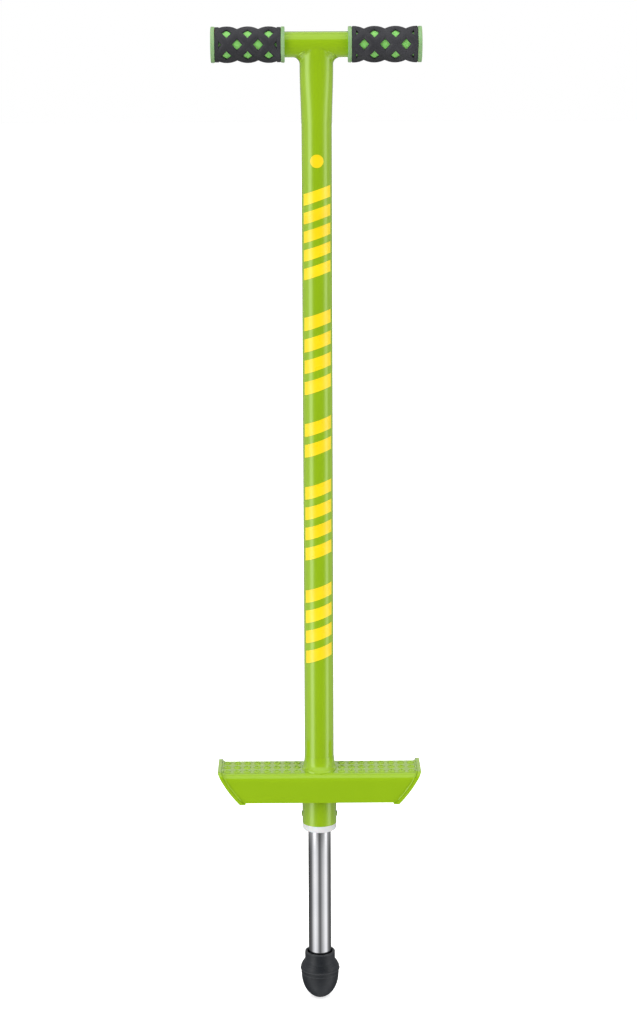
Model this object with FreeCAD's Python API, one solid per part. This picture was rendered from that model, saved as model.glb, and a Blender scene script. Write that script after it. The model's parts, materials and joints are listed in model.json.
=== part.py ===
import FreeCAD, Part
import math
import os

# Pogo stick. Sizes are millimetres. Z is up, X runs along the handlebar, Y from front to back.
# The origin is the lowest point of the rubber tip, on the stick's axis, with the spring extended.

V = FreeCAD.Vector
UP = V(0, 0, 1)

# Tubes
UPRIGHT_OD = 30.0
UPRIGHT_WALL = 1.8
BAR_OD = 25.0
BAR_WALL = 1.6
ROD_OD = 23.5
ROD_WALL = 2.0

# Heights above the ground
BAR_Z = 981.0
TREAD_Z = 252.0          # upper side of the foot channel's sheet
CHANNEL_BOTTOM_Z = 222.1
SLEEVE_TOP_Z = 246.0
SLEEVE_BOTTOM_Z = 193.0
BUSH_BOTTOM_Z = 186.0
TIP_TOP_Z = 51.5

# Upper end of the upright, squeezed oval to meet the handlebar
SQUEEZE_START_Z = 900.0
SQUEEZE_END_Z = 960.0
OVAL_HALF_X = 16.3
OVAL_HALF_Y = 12.0
BAR_WELD_RADIUS = 6.0
SADDLE_GAP = 0.05        # between the handlebar and the saddle cut for it

# Handlebar and grips
GRIP_LENGTH = 71.3
GRIP_INNER_X = 30.6      # inner face of each grip
GRIP_OD = 34.7
GRIP_CORE_OD = 28.4
INNER_FLANGE = 3.6
OUTER_FLANGE = 3.9
END_CAP = 3.0
FLANGE_EDGE_RADIUS = 0.8
WINDOW_PITCH = 20.2      # along the grip
WINDOW_LENGTH = 10.0     # along the grip
WINDOW_WIDTH = 12.0      # around it
WINDOW_CORNER_RADIUS = 0.8
WINDOW_ROWS = 8

# Foot channel and its end plates
CHANNEL_DEPTH = 54.0
SHEET = 2.5
CHANNEL_EDGE_RADIUS = 7.5
CHANNEL_HALF_LENGTH = 104.0
END_PLATE = 3.0
END_PLATE_PROUD = 1.5    # past the channel's front and back
END_LIP_Z = 253.9        # top of the end plates, where they start to curve inward
END_CORNER_RADIUS = 6.5  # their front and back corners at the top
END_TOE_X = 81.5         # where the curved part ends, at the bottom
END_TOE_Z = 220.8
END_TOE_LENGTH = 6.0
END_ARC_RISE = 1.7       # bulge of the curved part over its chord
TREAD_FIRST_X = 22.8
TREAD_PITCH_X = 10.25
TREAD_PITCH_Y = 13.9
TREAD_COLUMNS = 8
TREAD_ROWS = 3
RIM_HEIGHT = 0.9
RIM_BASE_R = 4.0
RIM_TOP_R = 3.3
RIM_LIP_R = 2.5
DISH_R = 1.5
DISH_DEPTH = 0.9

# Weld where the upright enters the channel
BELL_TOP_Z = 270.0
BELL_WAIST_R = 16.3
BELL_WAIST_Z = 256.5
BELL_LIP_R = 18.0        # where the flare meets the rounded lip
BELL_LIP_HEIGHT = 1.9
BELL_BASE_R = 18.7

# Sleeve, guide bush and its screws
SLEEVE_OD = 35.3
BUSH_FLANGE_OD = 34.5
BUSH_TOP_Z = 215.5
BUSH_CLEARANCE = 0.08    # radial running clearance on the rod
SCREW_Z = 202.0
SCREW_HEAD_R = 2.8
SCREW_HEAD_TOP_X = 18.35
SCREW_SEAT_X = 17.2
SCREW_SHANK_R = 1.5
SCREW_TIP_X = 12.7

# Rebound stop and piston head
UPRIGHT_BOTTOM_Z = 222.0
BUMPER_HEIGHT = 6.0
BUMPER_BORE_R = 12.2
HEAD_OD = 25.7
HEAD_HEIGHT = 12.0
SPIGOT_LENGTH = 21.0
ROLL_PIN_R = 2.0
ROLL_PIN_BORE_R = 1.2
ROLL_PIN_LENGTH = 23.0
ROLL_PIN_SLIT = 0.8
ROLL_PIN_DROP = 12.5     # below the head's shoulder

# Spring and its seats
WASHER = 2.0
WASHER_OD = 25.6
WASHER_BORE_R = 6.0
SPRING_WIRE_R = 2.0
SPRING_MEAN_R = 10.4
SPRING_LENGTH = 330.0
SPRING_PITCH = 10.6
STOP_HEIGHT = 20.0
STOP_BORE_R = 5.0

# Printed bands on the front of the upright: groups of slanted bars with a dot above
BAND_SKIN = 0.18
BAND_GAP = 0.02          # clear of the paint
BAND_HALF_WIDTH = 13.0
BAND_SLANT = 9.0         # rise of a bar from one side to the other
BAND_GROUPS = ((754.0, 847.0, 5), (640.0, 726.0, 4), (577.0, 620.0, 2),
               (472.0, 556.0, 4), (365.0, 450.0, 4))     # bottom, top, number of bars
BAND_FILL = 0.62         # share of a group that its bars cover
DOT_Z = 870.0
DOT_R = 6.5

# Rubber tip
TIP_NECK_R = 15.7
TIP_NECK_BOTTOM_Z = 42.3
TIP_RIDGE_R = 20.6
TIP_RIDGE_Z = 33.2
TIP_BODY_R = 19.4
TIP_BODY_TOP_Z = 28.6
TIP_DOME_HEIGHT = 27.0
TIP_MOUTH_R = 13.2
TIP_MOUTH_BOTTOM_Z = 45.0
TIP_EDGE_RADIUS = 1.2
ROD_BOTTOM_Z = 20.0
WEAR_DISC = 3.0

# Worked out from the sizes above
UPRIGHT_R = UPRIGHT_OD / 2
UPRIGHT_BORE_R = UPRIGHT_R - UPRIGHT_WALL
BAR_R = BAR_OD / 2
ROD_R = ROD_OD / 2
ROD_BORE_R = ROD_R - ROD_WALL
SHOULDER_Z = BUSH_TOP_Z + BUMPER_HEIGHT
HEAD_TOP_Z = SHOULDER_Z + HEAD_HEIGHT
SPRING_BOTTOM_Z = HEAD_TOP_Z + WASHER
SPRING_TOP_Z = SPRING_BOTTOM_Z + SPRING_LENGTH
STOP_BOTTOM_Z = SPRING_TOP_Z + WASHER
GRIP_OUTER_X = GRIP_INNER_X + GRIP_LENGTH
BAR_HALF_LENGTH = GRIP_OUTER_X - END_CAP


def post(radius, bottom, top):
    """Solid cylinder on the stick's axis."""
    return Part.makeCylinder(radius, top - bottom, V(0, 0, bottom), UP)


def ring(outer, inner, bottom, top):
    """Round tube on the stick's axis."""
    return post(outer, bottom, top).cut(post(inner, bottom, top))


def bar_post(radius, start_x, end_x):
    """Solid cylinder on the handlebar's axis."""
    return Part.makeCylinder(radius, end_x - start_x, V(start_x, 0, BAR_Z), V(1, 0, 0))


def cross_hole(radius, z, half_length):
    """Cylinder through the stick's axis, from front to back."""
    return Part.makeCylinder(radius, 2 * half_length, V(0, -half_length, z), V(0, 1, 0))


def outline(edges):
    """Flat face inside a closed chain of edges."""
    return Part.Face(Part.Wire(edges))


def chain(points):
    """Straight edges from each point to the next."""
    return [Part.makeLine(a, b) for a, b in zip(points, points[1:])]


def arc(start, middle, end):
    return Part.Arc(start, middle, end).toShape()


def turned(edges):
    """Solid of revolution about the stick's axis, from edges in the XZ plane."""
    return outline(edges).revolve(V(0, 0, 0), UP, 360)


def mirrored(shape):
    """The same shape on the other side of the stick."""
    return shape.mirror(V(0, 0, 0), V(1, 0, 0))


def joined(shapes):
    """One solid from shapes that meet or overlap."""
    return shapes[0].multiFuse(shapes[1:]).removeSplitter()


# ---------------------------------------------------------------- welded frame


def oval_section(z, inset):
    """Section of the upright's squeezed end, moved inward by inset."""
    t = (z - SQUEEZE_START_Z) / (SQUEEZE_END_Z - SQUEEZE_START_Z)
    share = t * t * (3 - 2 * t)
    half_x = UPRIGHT_R + (OVAL_HALF_X - UPRIGHT_R) * share - inset
    half_y = UPRIGHT_R + (OVAL_HALF_Y - UPRIGHT_R) * share - inset
    if t == 0:
        return Part.Wire(Part.Circle(V(0, 0, z), UP, half_x).toShape())
    return Part.Wire(Part.Ellipse(V(0, 0, z), half_x, half_y).toShape())


def upright_blank(inset):
    """Solid inside the upright's wall, or inside its bore when inset is the wall."""
    sections = 7
    step = (SQUEEZE_END_Z - SQUEEZE_START_Z) / (sections - 1)
    wires = [oval_section(SQUEEZE_START_Z + step * i, inset) for i in range(sections)]
    squeezed = Part.makeLoft(wires, True)
    crown = outline(wires[-1].Edges).extrude(V(0, 0, BAR_Z - SQUEEZE_END_Z))
    return post(UPRIGHT_R - inset, UPRIGHT_BOTTOM_Z, SQUEEZE_START_Z), squeezed, crown


def main_tube():
    bar = bar_post(BAR_R, -2 * UPRIGHT_OD, 2 * UPRIGHT_OD)
    stem, squeezed, crown = upright_blank(0)
    tee = crown.fuse(bar)
    seam = []
    for edge in tee.Edges:
        box = edge.BoundBox
        on_oval = box.XMax < OVAL_HALF_X + 0.5 and box.XMin > -OVAL_HALF_X - 0.5
        if on_oval and box.ZMax > SQUEEZE_END_Z + 1 and box.ZMin > SQUEEZE_END_Z + 0.5:
            seam.append(edge)
    tee = tee.makeFillet(BAR_WELD_RADIUS, seam)
    saddle = bar_post(BAR_R + SADDLE_GAP, -2 * UPRIGHT_OD, 2 * UPRIGHT_OD)
    solid = tee.cut(saddle).fuse(squeezed).fuse(stem)
    for part in upright_blank(UPRIGHT_WALL):
        solid = solid.cut(part)
    return solid.removeSplitter()


def handlebar_tube():
    outer = bar_post(BAR_R, -BAR_HALF_LENGTH, BAR_HALF_LENGTH)
    return outer.cut(bar_post(BAR_R - BAR_WALL, -BAR_HALF_LENGTH, BAR_HALF_LENGTH))


def end_arc(offset):
    """Curved line of an end plate, from its lip to its toe, moved inward by offset."""
    top = V(CHANNEL_HALF_LENGTH, 0, END_LIP_Z)
    toe = V(END_TOE_X, 0, END_TOE_Z)
    half_chord = (toe - top).Length / 2
    radius = (half_chord ** 2 + END_ARC_RISE ** 2) / (2 * END_ARC_RISE)
    inward = V((toe - top).z, 0, -(toe - top).x).normalize()
    centre = (top + toe) * 0.5 + inward * (radius - END_ARC_RISE)
    points = []
    for point in (top, (top + toe) * 0.5 - inward * END_ARC_RISE, toe):
        points.append(centre + (point - centre).normalize() * (radius - offset))
    return points


def foot_channel():
    half = CHANNEL_DEPTH / 2
    blank = Part.makeBox(
        2 * CHANNEL_HALF_LENGTH, CHANNEL_DEPTH, TREAD_Z - CHANNEL_BOTTOM_Z,
        V(-CHANNEL_HALF_LENGTH, -half, CHANNEL_BOTTOM_Z))
    blank = rounded_along_x(blank, CHANNEL_EDGE_RADIUS, TREAD_Z)
    hollow = Part.makeBox(
        2 * CHANNEL_HALF_LENGTH, CHANNEL_DEPTH - 2 * SHEET, TREAD_Z - CHANNEL_BOTTOM_Z,
        V(-CHANNEL_HALF_LENGTH, -half + SHEET, CHANNEL_BOTTOM_Z - SHEET))
    hollow = rounded_along_x(hollow, CHANNEL_EDGE_RADIUS - SHEET, TREAD_Z - SHEET)
    channel = blank.cut(hollow)
    side = inside_end_plate().extrude(V(0, CHANNEL_DEPTH, 0))
    side.translate(V(0, -half, 0))
    channel = channel.common(side)
    channel = channel.cut(post(UPRIGHT_R, CHANNEL_BOTTOM_Z, TREAD_Z + 1))
    dishes = Part.makeCompound([placed(tread_dish(), x, y) for x, y in tread_places()])
    rims = [placed(tread_rim(), x, y) for x, y in tread_places()]
    return channel.cut(dishes).multiFuse(rims)


def rounded_along_x(block, radius, top):
    """Round the two upper edges of a block that run along X."""
    edges = [e for e in block.Edges if e.BoundBox.ZMin > top - 0.1 and e.BoundBox.YLength < 0.1]
    return block.makeFillet(radius, edges)


def inside_end_plate():
    """Face in the XZ plane that fills the space between the two end plates."""
    start, middle, toe = end_arc(END_PLATE)
    above = V(start.x, 0, END_LIP_Z)
    foot = V(toe.x, 0, CHANNEL_BOTTOM_Z - END_PLATE)
    right = [Part.makeLine(above, start), arc(start, middle, toe), Part.makeLine(toe, foot)]
    left = [mirrored(edge) for edge in right]
    across = [Part.makeLine(V(-above.x, 0, above.z), above),
              Part.makeLine(V(-foot.x, 0, foot.z), foot)]
    return Part.Face(Part.Wire(Part.__sortEdges__(right + left + across)))


def tread_places():
    places = []
    for side in (-1, 1):
        for column in range(TREAD_COLUMNS):
            for row in range(TREAD_ROWS):
                x = side * (TREAD_FIRST_X + TREAD_PITCH_X * column)
                places.append((x, TREAD_PITCH_Y * (row - (TREAD_ROWS - 1) / 2)))
    return places


def placed(shape, x, y):
    copy = shape.copy()
    copy.translate(V(x, y, TREAD_Z))
    return copy


def tread_rim():
    """Raised rim of one tread, pressed up from the sheet."""
    slope = (RIM_LIP_R - DISH_R) / (RIM_HEIGHT + DISH_DEPTH)
    foot_r = DISH_R + slope * (DISH_DEPTH - 0.4)
    points = [V(foot_r, 0, -0.4), V(RIM_BASE_R, 0, -0.4), V(RIM_BASE_R, 0, 0),
              V(RIM_TOP_R, 0, RIM_HEIGHT), V(RIM_LIP_R, 0, RIM_HEIGHT), V(foot_r, 0, -0.4)]
    return turned(chain(points))


def tread_dish():
    """Hollow in the middle of one tread."""
    points = [V(0, 0, -DISH_DEPTH), V(DISH_R, 0, -DISH_DEPTH),
              V(RIM_LIP_R, 0, RIM_HEIGHT), V(0, 0, RIM_HEIGHT), V(0, 0, -DISH_DEPTH)]
    return turned(chain(points))


def right_foot_end_plate():
    outer_top, outer_middle, outer_toe = end_arc(0)
    inner_top, inner_middle, inner_toe = end_arc(END_PLATE)
    tuck_x = END_TOE_X - END_TOE_LENGTH
    edges = [arc(outer_top, outer_middle, outer_toe)]
    edges += chain([outer_toe, V(tuck_x, 0, END_TOE_Z), V(tuck_x, 0, CHANNEL_BOTTOM_Z),
                    V(inner_toe.x, 0, CHANNEL_BOTTOM_Z), inner_toe])
    edges.append(arc(inner_toe, inner_middle, inner_top))
    edges += chain([inner_top, outer_top])
    width = CHANNEL_DEPTH + 2 * END_PLATE_PROUD
    plate = outline(edges).extrude(V(0, width, 0))
    plate.translate(V(0, -width / 2, 0))
    blank = Part.makeBox(GRIP_LENGTH, width, width, V(tuck_x, -width / 2, END_LIP_Z - width))
    return plate.common(rounded_along_x(blank, END_CORNER_RADIUS, END_LIP_Z))


def tube_weld_bell():
    waist = V(BELL_WAIST_R, 0, BELL_WAIST_Z)
    top = V(UPRIGHT_R, 0, BELL_TOP_Z)
    base = V(BELL_BASE_R, 0, TREAD_Z)
    slack = V(UPRIGHT_R + 0.25 * (BELL_WAIST_R - UPRIGHT_R), 0, (BELL_TOP_Z + BELL_WAIST_Z) / 2)
    lip = V(BELL_LIP_R, 0, TREAD_Z + BELL_LIP_HEIGHT)
    flare = V(0.6 * waist.x + 0.4 * lip.x, 0, 0.4 * waist.z + 0.6 * lip.z)
    crown = V(BELL_BASE_R - 0.15, 0, TREAD_Z + 0.6 * BELL_LIP_HEIGHT)
    edges = [arc(top, slack, waist), arc(waist, flare, lip), arc(lip, crown, base)]
    edges += chain([base, V(UPRIGHT_R, 0, TREAD_Z), top])
    return turned(edges)


def upright_bands():
    """Thin printed skin on the front of the upright: slanted bars in groups, and one dot."""
    skin_r = UPRIGHT_R + BAND_GAP
    skin = ring(skin_r + BAND_SKIN, skin_r, BAND_GROUPS[-1][0] - UPRIGHT_OD, DOT_Z + UPRIGHT_OD)
    dot = Part.makeCylinder(DOT_R, UPRIGHT_OD, V(0, 0, DOT_Z), V(0, -1, 0))
    solids = [skin.common(dot).Solids[0]]
    for bottom, top, bars in BAND_GROUPS:
        pitch = (top - bottom - BAND_SLANT) / (bars - 1 + BAND_FILL)
        for bar in range(bars):
            low = bottom + pitch * bar
            solids.append(skin.common(slanted_bar(low, pitch * BAND_FILL)).Solids[0])
    return Part.makeCompound(solids)


def slanted_bar(low, thickness):
    """Prism that cuts one bar out of the skin, rising to the right."""
    corners = [V(-BAND_HALF_WIDTH, 0, low), V(BAND_HALF_WIDTH, 0, low + BAND_SLANT),
               V(BAND_HALF_WIDTH, 0, low + BAND_SLANT + thickness),
               V(-BAND_HALF_WIDTH, 0, low + thickness)]
    return outline(chain(corners + corners[:1])).extrude(V(0, -UPRIGHT_OD, 0))


# ---------------------------------------------------------------- grips


def right_grip_core():
    """Inner sleeve of the grip, with a flange at each end and a closed outer end."""
    sleeve = bar_post(GRIP_CORE_OD / 2, GRIP_INNER_X, GRIP_OUTER_X)
    flange_r = GRIP_OD / 2 - 0.1
    inner = bar_post(flange_r, GRIP_INNER_X, GRIP_INNER_X + INNER_FLANGE)
    outer = bar_post(flange_r, GRIP_OUTER_X - OUTER_FLANGE, GRIP_OUTER_X)
    flanges = [rounded_rims(inner), rounded_rims(outer)]
    core = joined([sleeve] + flanges)
    return core.cut(bar_post(BAR_R, GRIP_INNER_X - 1, GRIP_OUTER_X - END_CAP))


def rounded_rims(disc):
    """Disc with both of its circular edges rounded."""
    rims = [e for e in disc.Edges if isinstance(e.Curve, Part.Circle)]
    return disc.makeFillet(FLANGE_EDGE_RADIUS, rims)


def window_cutter(centre_x, angle):
    """Diamond prism that opens one window of the lattice."""
    half_x = WINDOW_LENGTH / 2
    half_y = WINDOW_WIDTH / 2
    corners = [V(half_x, 0, 0), V(0, half_y, 0), V(-half_x, 0, 0), V(0, -half_y, 0)]
    diamond = outline(chain(corners + corners[:1])).extrude(V(0, 0, GRIP_OD))
    long_edges = [e for e in diamond.Edges if e.BoundBox.ZLength > GRIP_OD - 0.1]
    diamond = diamond.makeFillet(WINDOW_CORNER_RADIUS, long_edges)
    diamond.rotate(V(0, 0, 0), V(1, 0, 0), angle)
    diamond.translate(V(centre_x, 0, BAR_Z))
    return diamond


def right_grip_lattice(first_row):
    """Rubber over-mould between the flanges, with staggered rows of diamond windows."""
    start = GRIP_INNER_X + INNER_FLANGE
    end = GRIP_OUTER_X - OUTER_FLANGE
    sleeve = bar_post(GRIP_OD / 2, start, end).cut(bar_post(GRIP_CORE_OD / 2, start, end))
    middle = (start + end) / 2
    cutters = []
    for row in range(WINDOW_ROWS):
        angle = 360.0 / WINDOW_ROWS * row
        shifts = (-1, 0, 1) if row % 2 == first_row else (-0.5, 0.5)
        for shift in shifts:
            cutters.append(window_cutter(middle + shift * WINDOW_PITCH, angle))
    return sleeve.cut(Part.makeCompound(cutters))


# ---------------------------------------------------------------- sleeve and bush


def screw_cut(side):
    """Room for one bush screw in the sleeve."""
    seat = V(side * SCREW_SEAT_X, 0, SCREW_Z)
    head = Part.makeCylinder(SCREW_HEAD_R, SLEEVE_OD, seat, V(side, 0, 0))
    return head.fuse(screw_shank(side))


def screw_shank(side):
    seat = V(side * SCREW_SEAT_X, 0, SCREW_Z)
    return Part.makeCylinder(SCREW_SHANK_R, SCREW_SEAT_X - SCREW_TIP_X, seat, V(-side, 0, 0))


def lower_sleeve():
    sleeve = ring(SLEEVE_OD / 2, UPRIGHT_R, SLEEVE_BOTTOM_Z, SLEEVE_TOP_Z)
    return sleeve.cut(screw_cut(-1)).cut(screw_cut(1))


def bush_screws():
    """Two self-tapping screws with low domed heads, through the sleeve into the bush."""
    solids = []
    for side in (-1, 1):
        seat = V(side * SCREW_SEAT_X, 0, SCREW_Z)
        head = Part.makeCylinder(SCREW_HEAD_R, SCREW_HEAD_TOP_X - SCREW_SEAT_X, seat, V(side, 0, 0))
        crown = [e for e in head.Edges if abs(e.BoundBox.Center.x) > SCREW_HEAD_TOP_X - 0.01]
        head = head.makeFillet(0.5, crown)
        solids.append(head.fuse(screw_shank(side)).removeSplitter())
    return Part.makeCompound(solids)


def guide_bush():
    flange = post(BUSH_FLANGE_OD / 2, BUSH_BOTTOM_Z, SLEEVE_BOTTOM_Z)
    low_rim = [e for e in flange.Edges if e.BoundBox.ZMax < BUSH_BOTTOM_Z + 0.1]
    flange = flange.makeFillet(1.5, low_rim)
    bush = flange.fuse(post(UPRIGHT_R, SLEEVE_BOTTOM_Z, BUSH_TOP_Z)).removeSplitter()
    bush = bush.cut(post(ROD_R + BUSH_CLEARANCE, BUSH_BOTTOM_Z, BUSH_TOP_Z))
    return bush.cut(screw_shank(-1)).cut(screw_shank(1))


def rebound_bumper():
    return ring(UPRIGHT_R, BUMPER_BORE_R, BUSH_TOP_Z, SHOULDER_Z)


# ---------------------------------------------------------------- sliding rod


def piston_rod():
    rod = ring(ROD_R, ROD_BORE_R, ROD_BOTTOM_Z, SHOULDER_Z)
    return rod.cut(cross_hole(ROLL_PIN_R, SHOULDER_Z - ROLL_PIN_DROP, ROD_OD))


def piston_head():
    cap = post(HEAD_OD / 2, SHOULDER_Z, HEAD_TOP_Z)
    cap = cap.makeChamfer(1.0, [e for e in cap.Edges if e.BoundBox.ZMin > HEAD_TOP_Z - 0.1])
    head = cap.fuse(post(ROD_BORE_R, SHOULDER_Z - SPIGOT_LENGTH, SHOULDER_Z)).removeSplitter()
    return head.cut(cross_hole(ROLL_PIN_R, SHOULDER_Z - ROLL_PIN_DROP, ROD_OD))


def piston_roll_pin():
    """Slotted spring pin."""
    z = SHOULDER_Z - ROLL_PIN_DROP
    half = ROLL_PIN_LENGTH / 2
    pin = cross_hole(ROLL_PIN_R, z, half).cut(cross_hole(ROLL_PIN_BORE_R, z, half))
    slit = Part.makeBox(ROLL_PIN_SLIT, ROLL_PIN_LENGTH, ROLL_PIN_R, V(-ROLL_PIN_SLIT / 2, -half, z))
    return pin.cut(slit)


def washer(bottom):
    return ring(WASHER_OD / 2, WASHER_BORE_R, bottom, bottom + WASHER)


def main_spring():
    """Compression spring with both ends ground flat."""
    start = SPRING_BOTTOM_Z - SPRING_WIRE_R
    helix = Part.makeHelix(SPRING_PITCH, SPRING_LENGTH + 2 * SPRING_WIRE_R, SPRING_MEAN_R)
    wire = Part.Wire(Part.Circle(V(SPRING_MEAN_R, 0, 0), V(0, 1, 0), SPRING_WIRE_R).toShape())
    coil = Part.Wire(helix.Edges).makePipeShell([wire], True, True)
    coil.translate(V(0, 0, start))
    return coil.common(post(WASHER_OD, SPRING_BOTTOM_Z, SPRING_TOP_Z))


def spring_stop():
    return ring(UPRIGHT_BORE_R, STOP_BORE_R, STOP_BOTTOM_Z, STOP_BOTTOM_Z + STOP_HEIGHT)


def rubber_tip():
    """Domed foot with a ridge, a neck and a mouth that stands clear of the rod."""
    dome = V(TIP_BODY_R, 0, TIP_DOME_HEIGHT)
    oval = Part.Ellipse(V(0, 0, 0), dome, V(0, 0, TIP_DOME_HEIGHT))
    quarter = Part.ArcOfEllipse(oval, 0, math.pi / 2).toShape()
    edge = TIP_EDGE_RADIUS * (1 - math.sqrt(0.5))
    neck_top = V(TIP_NECK_R, 0, TIP_TOP_Z - TIP_EDGE_RADIUS)
    neck_round = V(TIP_NECK_R - edge, 0, TIP_TOP_Z - edge)
    rim_top = V(TIP_NECK_R - TIP_EDGE_RADIUS, 0, TIP_TOP_Z)
    shoulder = V(TIP_NECK_R, 0, TIP_NECK_BOTTOM_Z)
    ridge = V(TIP_RIDGE_R, 0, TIP_RIDGE_Z)
    bulge = V(TIP_NECK_R + 2.9, 0, TIP_NECK_BOTTOM_Z - 4.0)
    under = V(TIP_RIDGE_R - 0.3, 0, TIP_RIDGE_Z - 2.2)
    seat_z = ROD_BOTTOM_Z - WEAR_DISC
    edges = [quarter]
    edges += chain([dome, V(TIP_BODY_R, 0, TIP_BODY_TOP_Z), under, ridge])
    edges.append(arc(ridge, bulge, shoulder))
    edges += chain([shoulder, neck_top])
    edges.append(arc(neck_top, neck_round, rim_top))
    edges += chain([rim_top, V(TIP_MOUTH_R, 0, TIP_TOP_Z), V(TIP_MOUTH_R, 0, TIP_MOUTH_BOTTOM_Z),
                    V(ROD_R, 0, TIP_MOUTH_BOTTOM_Z), V(ROD_R, 0, seat_z), V(0, 0, seat_z),
                    V(0, 0, 0)])
    return turned(edges)


def tip_wear_disc():
    return post(ROD_R, ROD_BOTTOM_Z - WEAR_DISC, ROD_BOTTOM_Z)


grip_core = right_grip_core()
end_plate = right_foot_end_plate()

nodes = {
    "main_tube": main_tube(),
    "handlebar_tube": handlebar_tube(),
    "left_grip_core": mirrored(grip_core),
    "right_grip_core": grip_core,
    "left_grip_lattice": mirrored(right_grip_lattice(1)),
    "right_grip_lattice": right_grip_lattice(0),
    "foot_channel": foot_channel(),
    "left_foot_end_plate": mirrored(end_plate),
    "right_foot_end_plate": end_plate,
    "tube_weld_bell": tube_weld_bell(),
    "upright_bands": upright_bands(),
    "lower_sleeve": lower_sleeve(),
    "guide_bush": guide_bush(),
    "bush_screws": bush_screws(),
    "rebound_bumper": rebound_bumper(),
    "piston_rod": piston_rod(),
    "piston_head": piston_head(),
    "piston_roll_pin": piston_roll_pin(),
    "lower_spring_washer": washer(HEAD_TOP_Z),
    "main_spring": main_spring(),
    "upper_spring_washer": washer(SPRING_TOP_Z),
    "spring_stop": spring_stop(),
    "rubber_tip": rubber_tip(),
    "tip_wear_disc": tip_wear_disc(),
}

os.makedirs("parts", exist_ok=True)
for name, shape in nodes.items():
    shape.exportStep("parts/" + name + ".step")
    box = shape.optimalBoundingBox()
    print("%-22s solids %d valid %s volume %.0f z %.1f to %.1f"
          % (name, len(shape.Solids), shape.isValid(), shape.Volume, box.ZMin, box.ZMax))
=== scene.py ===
import json
import math

import bmesh
import bpy
from mathutils import Matrix, Vector


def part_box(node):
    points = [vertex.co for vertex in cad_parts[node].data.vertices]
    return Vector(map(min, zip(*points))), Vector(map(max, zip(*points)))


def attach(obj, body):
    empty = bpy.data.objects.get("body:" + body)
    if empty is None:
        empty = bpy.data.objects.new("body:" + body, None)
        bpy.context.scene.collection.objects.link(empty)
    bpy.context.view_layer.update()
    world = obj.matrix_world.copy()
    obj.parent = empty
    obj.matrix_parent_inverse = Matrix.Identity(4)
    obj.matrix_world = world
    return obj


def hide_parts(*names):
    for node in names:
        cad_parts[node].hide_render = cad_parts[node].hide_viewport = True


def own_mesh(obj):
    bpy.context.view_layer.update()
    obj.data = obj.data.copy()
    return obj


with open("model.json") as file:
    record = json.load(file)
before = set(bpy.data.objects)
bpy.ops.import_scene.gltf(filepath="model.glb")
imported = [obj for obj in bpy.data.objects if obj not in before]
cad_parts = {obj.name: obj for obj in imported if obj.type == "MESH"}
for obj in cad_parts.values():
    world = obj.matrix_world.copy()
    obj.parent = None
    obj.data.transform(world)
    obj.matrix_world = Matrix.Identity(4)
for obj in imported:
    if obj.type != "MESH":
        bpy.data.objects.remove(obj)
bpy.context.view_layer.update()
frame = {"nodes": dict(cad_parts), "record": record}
NODES = frame["nodes"]
MM = 0.001
TAU = 2 * math.pi


# ---------------------------------------------------------------- sizes, from the frame where it has them

BAR_LOW, BAR_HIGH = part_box("handlebar_tube")
BAR_Z = (BAR_LOW.z + BAR_HIGH.z) / 2
BAR_R = BAR_HIGH.y
UPRIGHT_WALL = 1.8 * MM
UPRIGHT_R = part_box("spring_stop")[1].y + UPRIGHT_WALL
ROD_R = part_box("piston_rod")[1].y
SHEET_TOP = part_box("tube_weld_bell")[0].z
CHANNEL_LOW, CHANNEL_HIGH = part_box("foot_channel")
CHANNEL_EDGE = 7.5 * MM      # outer radius of the channel's long bends
LATTICE_LOW, LATTICE_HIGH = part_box("right_grip_lattice")
SPRING_LOW, SPRING_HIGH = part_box("main_spring")
TIP_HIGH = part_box("rubber_tip")[1]
TIP_DOME = 27.0 * MM         # height of the tip's dome
TIP_RIDGE_Z = 33.2 * MM


# ---------------------------------------------------------------- node helpers


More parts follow.
